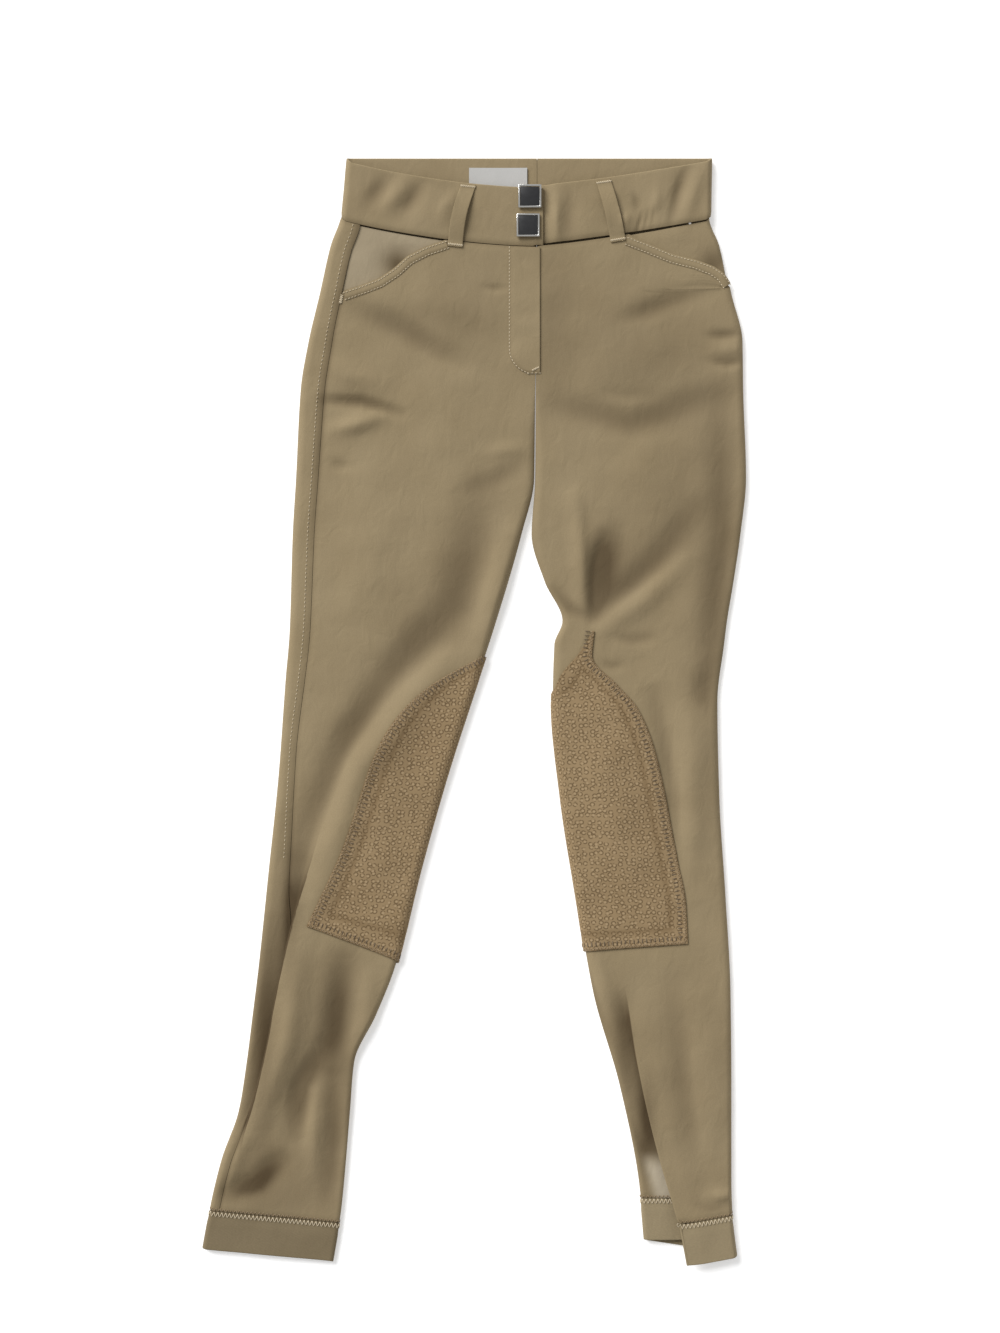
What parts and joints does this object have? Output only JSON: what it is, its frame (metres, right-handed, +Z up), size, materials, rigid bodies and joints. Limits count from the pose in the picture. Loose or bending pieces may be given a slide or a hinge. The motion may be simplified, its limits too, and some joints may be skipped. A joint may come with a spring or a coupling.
{
  "type": "riding breeches",
  "caption": "Riding breeches laid flat, front up: waistband with a snap-closed tab and belt loops, slant pockets, fly placket, tapered legs with knee grip patches and knit cuffs.",
  "frame": {"origin": "centre of the laid-out garment's outline, on the surface it lies on", "axes": "+X towards the wearer's left, +Y from the cuffs to the waistband, +Z up, out of the garment's front"},
  "size_m": [0.4707, 0.9567, 0.0148],
  "materials": {
    "twill": "tan cotton stretch twill, soft matte with a slight sheen",
    "grip_suede": "brown synthetic suede with a small raised ring print",
    "cuff_knit": "tan smooth stretch knit, doubled",
    "snap_metal": "polished plated metal",
    "snap_enamel": "black enamel",
    "label_weave": "plain off-white woven label"
  },
  "bodies": {
    "root": {"front_right": "twill", "front_left": "twill", "back_right": "twill", "back_left": "twill", "waistband_right": "twill", "waistband_left": "twill", "fly_placket": "twill", "pocket_facing_right": "twill", "pocket_facing_left": "twill", "pocket_band_right": "twill", "pocket_band_left": "twill", "belt_loop_front_right": "twill", "belt_loop_front_left": "twill", "belt_loop_back_right": "twill", "belt_loop_back_centre": "twill", "belt_loop_back_left": "twill", "knee_patch_right": "grip_suede", "knee_patch_left": "grip_suede", "cuff_right": "cuff_knit", "cuff_left": "cuff_knit", "snap_frame_upper": "snap_metal", "snap_frame_lower": "snap_metal", "snap_plate_upper": "snap_enamel", "snap_plate_lower": "snap_enamel", "label": "label_weave"}
  },
  "joints": []
}
